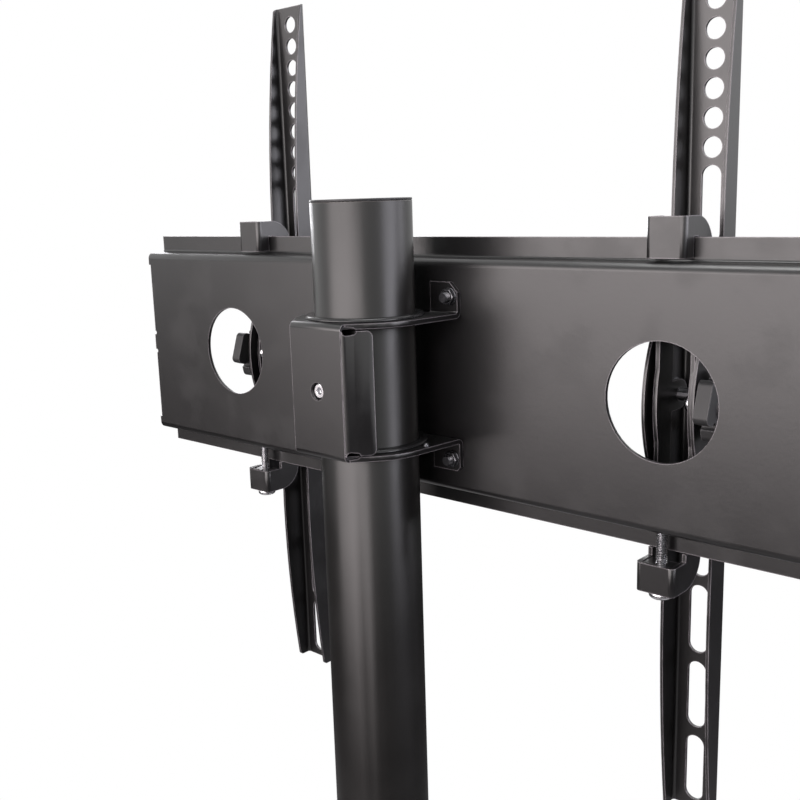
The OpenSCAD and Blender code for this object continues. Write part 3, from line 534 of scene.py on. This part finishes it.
def islands(node):
    """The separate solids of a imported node, each as (lowest corner, highest corner)."""
    bm = bmesh.new()
    bm.from_mesh(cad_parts[node].data)
    bmesh.ops.remove_doubles(bm, verts=bm.verts, dist=SAME_SOLID)
    boxes = []
    left = set(bm.verts)
    while left:
        queue = [left.pop()]
        group = []
        while queue:
            v = queue.pop()
            group.append(v.co.copy())
            for e in v.link_edges:
                other = e.other_vert(v)
                if other in left:
                    left.remove(other)
                    queue.append(other)
        boxes.append((
            Vector([min(c[i] for c in group) for i in range(3)]),
            Vector([max(c[i] for c in group) for i in range(3)])))
    bm.free()
    return sorted(boxes, key=lambda b: (b[0].x, b[0].z))


def node_box(node):
    """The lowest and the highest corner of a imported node."""
    low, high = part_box(node)
    return Vector(low), Vector(high)


# New shapes, made along +Z


def fresh(bm):
    """The points of the shape that is being made."""
    return [v for v in bm.verts if not v.tag]


def settle(bm):
    """Marks what is made so far, so that the next shape is told from it."""
    for v in bm.verts:
        v.tag = True


def profile(shares, radius, height):
    """An outline of (radius, height) points from shares of a radius and a height."""
    return [(radius * across, height * up) for across, up in shares]


def lathe(bm, outline, steps):
    """Spins an outline of (radius, height) points round the Z axis into a closed shape."""
    points = [bm.verts.new((radius, 0, height)) for radius, height in outline]
    lines = [bm.edges.new(pair) for pair in zip(points, points[1:])]
    if outline[0][0] > 0:
        lines.append(bm.edges.new((points[-1], points[0])))
    bmesh.ops.spin(
        bm, geom=points + lines, cent=(0, 0, 0), axis=(0, 0, 1), angle=FULL_TURN, steps=steps,
        use_merge=True)
    bmesh.ops.remove_doubles(bm, verts=fresh(bm), dist=SAME_PLACE)
    return fresh(bm)


def to_hexagon(verts, across, least_radius=0.0):
    """Pulls points in to the flats of a hexagon, measured across its flats."""
    for v in verts:
        radius = math.hypot(v.co.x, v.co.y)
        if radius <= least_radius:
            continue
        bearing = math.atan2(v.co.y, v.co.x) % (math.pi / 3) - math.pi / 6
        reach = across / 2 / math.cos(bearing)
        if radius > reach:
            v.co.x *= reach / radius
            v.co.y *= reach / radius


def cut_end(bm, height, outwards):
    """Cuts the newest shape square at a height, and closes it there."""
    live = fresh(bm)
    faces = list({f for v in live for f in v.link_faces})
    edges = list({e for v in live for e in v.link_edges})
    cut = bmesh.ops.bisect_plane(
        bm, geom=live + edges + faces, dist=SAME_CUT, plane_co=(0, 0, height),
        plane_no=(0, 0, outwards), clear_outer=True)
    rim = [e for e in cut["geom_cut"] if isinstance(e, bmesh.types.BMEdge)]
    bmesh.ops.holes_fill(bm, edges=rim, sides=0)


def thread(bm, radius, start, end, sizes):
    """A closed rod with a helical groove."""
    pitch = sizes.thread_pitch
    steps = sizes.thread_steps
    points = []
    for turn_number in range(math.ceil((end - start) / pitch) + SPARE_TURNS):
        base = start + (turn_number - TURNS_BEFORE) * pitch
        for share, drop in THREAD_TURN:
            points.append(
                bm.verts.new((radius - sizes.thread_depth * drop, 0, base + share * pitch)))
    lines = [bm.edges.new(pair) for pair in zip(points, points[1:])]
    bmesh.ops.spin(
        bm, geom=points + lines, cent=(0, 0, 0), axis=(0, 0, 1), dvec=(0, 0, pitch / steps),
        angle=FULL_TURN, steps=steps)
    bmesh.ops.remove_doubles(bm, verts=fresh(bm), dist=SAME_PLACE)
    cut_end(bm, start, -1)
    cut_end(bm, end, 1)
    return fresh(bm)


def taper_end(verts, end, length, depth):
    """Cuts the thread down towards its end, as a chamfer does."""
    for v in verts:
        share = 1 - (end - v.co.z) / length
        radius = math.hypot(v.co.x, v.co.y)
        if share > 0 and radius > 0:
            crest = max(radius - depth * share, radius * TAPER_LEAST)
            v.co.x *= crest / radius
            v.co.y *= crest / radius


def cut_slot(bm, width, depth):
    """Cuts a slot across the face at height 0."""
    for offset in (-width / 2, width / 2):
        bmesh.ops.bisect_plane(
            bm, geom=bm.verts[:] + bm.edges[:] + bm.faces[:], dist=SAME_CUT,
            plane_co=(0, offset, 0), plane_no=(0, 1, 0))
    bmesh.ops.bisect_plane(
        bm, geom=bm.verts[:] + bm.edges[:] + bm.faces[:], dist=SAME_CUT,
        plane_co=(0, 0, depth), plane_no=(0, 0, 1))
    inside = [f for f in bm.faces
              if abs(f.calc_center_median().y) < width / 2 - SAME_SOLID
              and f.calc_center_median().z < depth]
    bmesh.ops.delete(bm, geom=inside, context="FACES")
    rims = [e for e in bm.edges if e.is_boundary]
    walls = bmesh.ops.extrude_edge_only(bm, edges=rims)
    for v in [g for g in walls["geom"] if isinstance(g, bmesh.types.BMVert)]:
        v.co.z = depth
    bmesh.ops.remove_doubles(bm, verts=bm.verts, dist=SAME_PLACE)
    bmesh.ops.holes_fill(bm, edges=[e for e in bm.edges if e.is_boundary], sides=0)


def turned(axis, place):
    """A matrix that lays a shape made along +Z along another axis, at a place."""
    return Matrix.Translation(place) @ Vector(axis).to_track_quat("Z", "Y").to_matrix().to_4x4()


def rearwards(boxes):
    """Matrices that lay a shape made along +Z along +Y, from the front of each box."""
    return [
        turned((0, 1, 0), Vector(((a.x + b.x) / 2, a.y, (a.z + b.z) / 2))) for a, b in boxes]


def in_order(bm):
    """The same shape with its points and faces sorted, because merging leaves their order open.

    A face's first corner sets how it is cut into triangles. A quad keeps its diagonal, and of the
    larger faces only the level ones get a new first corner, because the others can be twisted.
    """
    points = sorted(bm.verts, key=lambda v: tuple(v.co))
    for number, v in enumerate(points):
        v.index = number
    rings = []
    for f in bm.faces:
        ring = [v.index for v in f.verts]
        heights = [v.co.z for v in f.verts]
        if len(ring) == 4:
            starts = ring[::2]
        elif len(ring) == 3 or max(heights) - min(heights) < SAME_PLACE:
            starts = ring
        else:
            starts = ring[:1]
        first = ring.index(min(starts))
        rings.append(ring[first:] + ring[:first])
    ordered = bmesh.new()
    made = [ordered.verts.new(v.co) for v in points]
    for ring in sorted(rings):
        ordered.faces.new([made[number] for number in ring])
    bm.free()
    return ordered


def replace_node(node, bm, name, material, body, places, smooth_deg=SMOOTH_DEG):
    """Copies a shape to its places as one piece on a body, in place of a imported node."""
    if not all(e.is_manifold for e in bm.edges):
        raise RuntimeError(f"{name} isn't closed")
    bmesh.ops.recalc_face_normals(bm, faces=bm.faces)
    bm = in_order(bm)
    whole = bmesh.new()
    for place in places:
        copy = bm.copy()
        bmesh.ops.transform(copy, matrix=place, verts=copy.verts)
        part = bpy.data.meshes.new("part")
        copy.to_mesh(part)
        whole.from_mesh(part)
        bpy.data.meshes.remove(part)
        copy.free()
    bm.free()
    mesh = bpy.data.meshes.new(name)
    whole.to_mesh(mesh)
    whole.free()
    mesh.materials.append(material)
    mesh.shade_smooth()
    mesh.set_sharp_from_angle(angle=math.radians(smooth_deg))
    piece = bpy.data.objects.new(name, mesh)
    bpy.context.scene.collection.objects.link(piece)
    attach(piece, body)
    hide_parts(node)


# Operators


class STAND_OT_sheet_pieces(bpy.types.Operator):
    """Rounds the cut edges of the folded sheet pieces and coats them"""

    bl_idname = "stand.sheet_pieces"
    bl_label = "Sheet pieces"

    def execute(self, context):
        sizes = context.scene.stand_sizes
        colour = tuple(context.scene.stand_colours.powder)
        coat = powder_coat("powder_coat", colour, sizes.peel)
        finish_nodes(SHEET_NODES, coat, sizes.sheet_round)
        return {"FINISHED"}


class STAND_OT_pole(bpy.types.Operator):
    """Paints the pole and gives its cap and its bushes their plastic"""

    bl_idname = "stand.pole"
    bl_label = "Pole, cap and bushes"

    def execute(self, context):
        sizes = context.scene.stand_sizes
        colours = context.scene.stand_colours
        plastic = tuple(colours.plastic)
        paint = pole_paint("pole_paint", tuple(colours.pole))
        finish_nodes(["pole"], paint, sizes.small_round)
        satin = moulded_plastic("cap_plastic", plastic, roughness=0.42)
        finish_nodes(["pole_cap"], satin, sizes.small_round)
        glossy = moulded_plastic("bush_plastic", plastic, roughness=0.16, grain_depth=0.00003)
        finish_nodes(BUSH_NODES, glossy, sizes.small_round * BUSH_ROUND)
        return {"FINISHED"}


class STAND_OT_foot(bpy.types.Operator):
    """Coats the foot plate and the socket, and finishes their pads and screws"""

    bl_idname = "stand.foot"
    bl_label = "Foot"

    def execute(self, context):
        sizes = context.scene.stand_sizes
        colours = context.scene.stand_colours
        peel = sizes.peel * FOOT_PEEL
        coat = powder_coat("foot_coat", tuple(colours.powder), peel, roughness=0.48)
        finish_nodes(FOOT_NODES, coat, sizes.plate_round)
        pads = rubber("pad_rubber", tuple(colours.rubber))
        finish_nodes(["base_pads"], pads, sizes.plate_round)
        zinc = bright_metal("foot_zinc", tuple(colours.zinc), roughness=0.28)
        finish_nodes(["foot_bolts", "foot_screws"], zinc, sizes.small_round)
        return {"FINISHED"}


class STAND_OT_rail_bolts(bpy.types.Operator):
    """Makes the four bolts that hold the bracket to the rail, with their threads"""

    bl_idname = "stand.rail_bolts"
    bl_label = "Rail bolts"

    def execute(self, context):
        steel = tuple(context.scene.stand_colours.steel)
        boxes = islands("rail_bolts")
        low, high = boxes[0]
        washer_low, washer_high = islands("rail_washers")[0]
        nut_low, nut_high = islands("rail_nuts")[0]
        if not low.y < washer_low.y < washer_high.y < nut_high.y < high.y:
            raise RuntimeError("the rail's bolts don't reach through their washers and nuts")
        shank_r = self.shank_radius(boxes)
        thread_start = washer_low.y - low.y - BOLT_THREAD_AHEAD
        bm = bmesh.new()
        self.head(bm, (high.x - low.x) / 2, shank_r * BOLT_CORE_SHARE, thread_start)
        settle(bm)
        length = high.y - low.y
        made = thread(bm, shank_r, thread_start, length, context.scene.stand_sizes)
        taper_end(made, length, BOLT_TAPER_LENGTH, BOLT_TAPER_DEPTH)
        replace_node(
            "rail_bolts", bm, "rail_bolts_threaded",
            bright_metal("bolt_steel", steel, roughness=0.30), "mount",
            rearwards(boxes))
        return {"FINISHED"}

    def head(self, bm, radius, core_r, thread_start):
        """A button head with a hexagonal socket, and the core that the thread starts on."""
        core_end = thread_start + BOLT_CORE_OVERLAP
        made = lathe(bm, [
            *profile(BOLT_SOCKET, 1, BOLT_HEAD_H), BOLT_SOCKET_RIM, BOLT_SOCKET_LEAD,
            *profile(BUTTON_HEAD, radius, BOLT_HEAD_H), (core_r, BOLT_HEAD_H),
            (core_r, core_end), (0, core_end)], BOLT_STEPS)
        socket = [v for v in made if v.co.z < BOLT_HEAD_H * BOLT_SOCKET_REACH
                  and math.hypot(v.co.x, v.co.y) < BOLT_SOCKET_REACH_R]
        to_hexagon(socket, BOLT_SOCKET_ACROSS)

    def shank_radius(self, boxes):
        """Radius of a packed bolt at its free end."""
        low, high = max(boxes, key=lambda b: b[0].x + b[0].z)
        end = [v.co.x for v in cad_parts["rail_bolts"].data.vertices
               if v.co.y > high.y - BOLT_END_SLICE and v.co.x > low.x and v.co.z > low.z]
        return (max(end) - min(end)) / 2


class STAND_OT_rail_nuts(bpy.types.Operator):
    """Makes the chamfered nuts on the bracket's tabs and finishes the washers"""

    bl_idname = "stand.rail_nuts"
    bl_label = "Rail nuts and washers"

    def execute(self, context):
        sizes = context.scene.stand_sizes
        colour = tuple(context.scene.stand_colours.steel)
        steel = bright_metal("nut_steel", colour, roughness=0.26)
        boxes = islands("rail_nuts")
        low, high = boxes[0]
        height = high.y - low.y
        across = min(high.x - low.x, high.z - low.z)
        drop = height * NUT_DROP_SHARE
        rise = profile(NUT_CHAMFER, across / 2, drop) + [(across / math.sqrt(3), drop)]
        bm = bmesh.new()
        made = lathe(bm, [
            (NUT_BORE_R, height * NUT_LEAD_DEPTH), (NUT_BORE_R * NUT_LEAD_SHARE, 0), *rise,
            *((radius, height - z) for radius, z in reversed(rise)),
            (NUT_BORE_R * NUT_LEAD_SHARE, height),
            (NUT_BORE_R, height * (1 - NUT_LEAD_DEPTH))], NUT_STEPS)
        to_hexagon(made, across, across / 2 * NUT_CORE_SHARE)
        replace_node(
            "rail_nuts", bm, "rail_nuts_chamfered", steel, "mount",
            rearwards(boxes), NUT_SMOOTH_DEG)
        finish_nodes(["rail_washers"], steel, sizes.small_round * RAIL_WASHER_ROUND)
        return {"FINISHED"}


class STAND_OT_lock_parts(bpy.types.Operator):
    """Finishes the lock screw and its nut, and makes the small rivet"""

    bl_idname = "stand.lock_parts"
    bl_label = "Lock screw, nut and rivet"

    def execute(self, context):
        sizes = context.scene.stand_sizes
        colours = context.scene.stand_colours
        zinc = bright_metal("lock_zinc", tuple(colours.zinc), roughness=0.22)
        steel = bright_metal("lock_nut_steel", tuple(colours.steel), roughness=0.34)
        finish_nodes(["lock_screw"], zinc, sizes.small_round * LOCK_SCREW_ROUND)
        finish_nodes(["lock_nut"], steel, sizes.small_round)
        self.rivet(steel)
        return {"FINISHED"}

    def rivet(self, steel):
        low, high = node_box("flange_rivet")
        head_r = (high.x - low.x) / 2
        base = high.z - RIVET_HEAD_H
        shank_r = head_r * RIVET_SHANK_SHARE
        bm = bmesh.new()
        lathe(bm, [
            *profile(RIVET_HEAD, head_r, RIVET_HEAD_H), (shank_r, 0), (shank_r, low.z - base),
            (0, low.z - base)], RIVET_STEPS)
        place = Vector(((low.x + high.x) / 2, (low.y + high.y) / 2, base))
        replace_node(
            "flange_rivet", bm, "flange_rivet_domed", steel, "mount",
            [Matrix.Translation(place)], RIVET_SMOOTH_DEG)


class STAND_OT_tilt_parts(bpy.types.Operator):
    """Makes the tilt bolts' domed heads, and finishes the pivots and washers"""

    bl_idname = "stand.tilt_parts"
    bl_label = "Tilt bolts and pivots"

    def execute(self, context):
        sizes = context.scene.stand_sizes
        colours = context.scene.stand_colours
        zinc = bright_metal("tilt_zinc", tuple(colours.zinc), roughness=0.18)
        steel = bright_metal("pivot_steel", tuple(colours.steel), roughness=0.32)
        for side in SIDES:
            self.bolt(side, zinc)
            finish_nodes(["pivot_pin_" + side], steel, sizes.small_round * PIN_ROUND)
            finish_nodes(["pivot_washers_" + side], steel, sizes.small_round)
            finish_nodes(["knob_washer_" + side], zinc, sizes.small_round)
        return {"FINISHED"}

    def bolt(self, side, zinc):
        """A bolt whose head is on the arm's inner side."""
        node = "tilt_bolt_" + side
        low, high = node_box(node)
        centre = (low + high) / 2
        head_r = (high.z - low.z) / 2
        length = high.x - low.x
        way, start = (1, low.x) if side == "left" else (-1, high.x)
        bm = bmesh.new()
        lathe(bm, [
            *profile(TILT_SOCKET, 1, TILT_HEAD_H), (head_r * TILT_RIM_SHARE, TILT_RIM_DEPTH),
            *profile(TILT_HEAD, head_r, TILT_HEAD_H), (TILT_SHANK_R, TILT_HEAD_H),
            (TILT_SHANK_R, length - TILT_END_CHAMFER), (TILT_SHANK_R - TILT_END_CHAMFER, length),
            (0, length)], ROUND_HEAD_STEPS)
        place = turned((way, 0, 0), Vector((start, centre.y, centre.z)))
        replace_node(
            node, bm, "tilt_bolt_domed_" + side, zinc, side + "_arm", [place],
            TILT_SMOOTH_DEG)


class STAND_OT_knobs(bpy.types.Operator):
    """Rounds the tilt knobs' lobes and gives them their grain"""

    bl_idname = "stand.knobs"
    bl_label = "Tilt knobs"

    def execute(self, context):
        colour = tuple(context.scene.stand_colours.plastic)
        plastic = moulded_plastic("knob_plastic", colour, roughness=0.46)
        width = context.scene.stand_sizes.knob_round
        finish_nodes(KNOB_NODES, plastic, width, KNOB_SEGMENTS)
        return {"FINISHED"}


class STAND_OT_safety_screws(bpy.types.Operator):
    """Makes the two safety screws, with their threads and slotted heads"""

    bl_idname = "stand.safety_screws"
    bl_label = "Safety screws"

    def execute(self, context):
        colour = tuple(context.scene.stand_colours.zinc)
        zinc = bright_metal("safety_zinc", colour, roughness=0.20)
        for side in SIDES:
            self.screw(side, zinc, context.scene.stand_sizes)
        return {"FINISHED"}

    def screw(self, side, zinc, sizes):
        """A screw whose head is at its lower end."""
        node = "safety_screw_" + side
        low, high = node_box(node)
        length = high.z - low.z
        bm = bmesh.new()
        lathe(bm, profile(SAFETY_HEAD, (high.x - low.x) / 2, SAFETY_HEAD_H), ROUND_HEAD_STEPS)
        cut_slot(bm, SLOT_WIDTH, SLOT_DEPTH)
        settle(bm)
        thread_start = SAFETY_HEAD_H * SAFETY_THREAD_START
        made = thread(bm, SAFETY_SHANK_R, thread_start, length, sizes)
        taper_end(made, length, SAFETY_TAPER_LENGTH, SAFETY_TAPER_DEPTH)
        place = Vector(((low.x + high.x) / 2, (low.y + high.y) / 2, low.z))
        replace_node(
            node, bm, "safety_screw_threaded_" + side, zinc, side + "_safety",
            [Matrix.Translation(place)])


class STAND_OT_studio(bpy.types.Operator):
    """Makes the camera, the floor, the world and the lamps"""

    bl_idname = "stand.studio"
    bl_label = "Studio"

    def execute(self, context):
        scene = context.scene
        self.camera(scene)
        self.floor(scene)
        self.world(scene)
        self.lamps(scene)
        scene.view_settings.view_transform = "Standard"
        return {"FINISHED"}

    def camera(self, scene):
        data = bpy.data.cameras.new("photo_camera")
        data.lens = CAMERA_LENS_MM
        data.sensor_width = CAMERA_SENSOR_MM
        data.sensor_fit = "HORIZONTAL"
        data.clip_start = CAMERA_NEAR
        data.clip_end = CAMERA_FAR
        camera = bpy.data.objects.new("photo_camera", data)
        pose = Matrix((CAMERA_RIGHT, CAMERA_UP, CAMERA_BACK)).transposed().to_4x4()
        pose.translation = CAMERA_PLACE
        camera.matrix_world = pose
        scene.collection.objects.link(camera)
        scene.camera = camera

    def floor(self, scene):
        """A pale disc with the object's shadow near the stand and plain white further out."""
        bm = bmesh.new()
        bmesh.ops.create_circle(
            bm, cap_ends=True, cap_tris=False, segments=FLOOR_SIDES, radius=FLOOR_RADIUS)
        mesh = bpy.data.meshes.new("studio_floor")
        bm.to_mesh(mesh)
        bm.free()
        mesh.materials.append(self.floor_finish(tuple(scene.stand_colours.floor)))
        floor = bpy.data.objects.new("studio_floor", mesh)
        scene.collection.objects.link(floor)

    def floor_finish(self, pale):
        finish = Finish("studio_floor", ior=1.3)
        away = finish.node(
            "ShaderNodeVectorMath", {"operation": "LENGTH"}, {0: finish.place()}, output=1)
        # Painted shade: the floor's own colour darkens away from the stand, as if less lamp light
        # fell there
        painted_shade = finish.ramp(away, low=FLOOR_FALL_START, high=FLOOR_FALL_END)
        finish.surface(finish.mix(painted_shade, pale, shade(pale, FLOOR_FALL)), roughness=0.9)
        outside = finish.ramp(away, low=FLOOR_LIT, high=FLOOR_WHITE)
        far_off = finish.ramp(away, low=MIRROR_LIT, high=MIRROR_WHITE)
        white = finish.larger(
            finish.larger(finish.ray("Camera") * outside, finish.ray("Glossy") * far_off),
            finish.ray("Transmission") * outside)
        glow = finish.node("ShaderNodeEmission", {}, {"Strength": WHITE_GLOW})
        finish.show(finish.blend(white, finish.shaded, glow))
        return finish.material

    def world(self, scene):
        """White to the camera and in mirrors, and a faint light on everything else."""
        world = bpy.data.worlds.new("studio_world")
        world.use_nodes = True
        sky = Graph(world.node_tree, "ShaderNodeOutputWorld")
        white = sky.larger(
            sky.larger(sky.ray("Camera"), sky.ray("Glossy")), sky.ray("Transmission"))
        faint, full = (
            sky.node("ShaderNodeBackground", {}, {"Color": WHITE, "Strength": strength})
            for strength in (WORLD_GLOW, WHITE_GLOW))
        sky.show(sky.blend(white, faint, full))
        scene.world = world

    def lamps(self, scene):
        for box in LAMPS:
            angle = math.radians(box.bearing)
            place = Vector((
                box.reach * math.cos(angle), box.reach * math.sin(angle),
                (box.low + box.high) / 2))
            level = Vector((0, 0, place.z))
            self.lamp(
                scene, box.name, place, level, box.width, box.high - box.low, box.glow, box.tint)
        self.lamp(
            scene, "soft_box_top", Vector((0, 0, TOP_LAMP_HEIGHT)), Vector(), TOP_LAMP_SIDE,
            TOP_LAMP_SIDE, TOP_LAMP_GLOW, WHITE)

    def lamp(self, scene, name, place, aim, width, height, glow, tint):
        """A soft box at a place, turned towards its aim."""
        data = bpy.data.lights.new(name, "AREA")
        data.shape = "RECTANGLE"
        data.size = width
        data.size_y = height
        data.energy = glow * math.pi * width * height
        data.color = tint
        data.spread = math.radians(LAMP_SPREAD_DEG)
        lamp = bpy.data.objects.new(name, data)
        lamp.location = place
        lamp.rotation_euler = (aim - place).to_track_quat("-Z", "Y").to_euler()
        lamp.visible_camera = False
        scene.collection.objects.link(lamp)


STEPS = (
    STAND_OT_sheet_pieces,
    STAND_OT_pole,
    STAND_OT_foot,
    STAND_OT_rail_bolts,
    STAND_OT_rail_nuts,
    STAND_OT_lock_parts,
    STAND_OT_tilt_parts,
    STAND_OT_knobs,
    STAND_OT_safety_screws,
    STAND_OT_studio,
)


class STAND_PT_panel(bpy.types.Panel):
    """Lists the stand's sizes, colours and steps"""

    bl_idname = "STAND_PT_panel"
    bl_label = "Television stand"
    bl_space_type = "VIEW_3D"
    bl_region_type = "UI"
    bl_category = "Stand"

    def draw(self, context):
        sizes = self.layout.box()
        for name in ("sheet_round", "plate_round", "knob_round", "small_round", "thread_pitch",
                     "thread_depth", "thread_steps", "peel"):
            sizes.prop(context.scene.stand_sizes, name)
        colours = self.layout.box()
        for name in ("powder", "pole", "zinc", "steel", "plastic", "rubber", "floor"):
            colours.prop(context.scene.stand_colours, name)
        for step in STEPS:
            self.layout.operator(step.bl_idname)


CLASSES = (StandColours, StandSizes, *STEPS, STAND_PT_panel)


def register():
    for kind in CLASSES:
        bpy.utils.register_class(kind)
    bpy.types.Scene.stand_colours = PointerProperty(type=StandColours)
    bpy.types.Scene.stand_sizes = PointerProperty(type=StandSizes)


def unregister():
    del bpy.types.Scene.stand_sizes
    del bpy.types.Scene.stand_colours
    for kind in reversed(CLASSES):
        bpy.utils.unregister_class(kind)


def main():
    register()
    bpy.ops.stand.sheet_pieces()
    bpy.ops.stand.pole()
    bpy.ops.stand.foot()
    bpy.ops.stand.rail_bolts()
    bpy.ops.stand.rail_nuts()
    bpy.ops.stand.lock_parts()
    bpy.ops.stand.tilt_parts()
    bpy.ops.stand.knobs()
    bpy.ops.stand.safety_screws()
    bpy.ops.stand.studio()


if __name__ == "__main__":
    main()
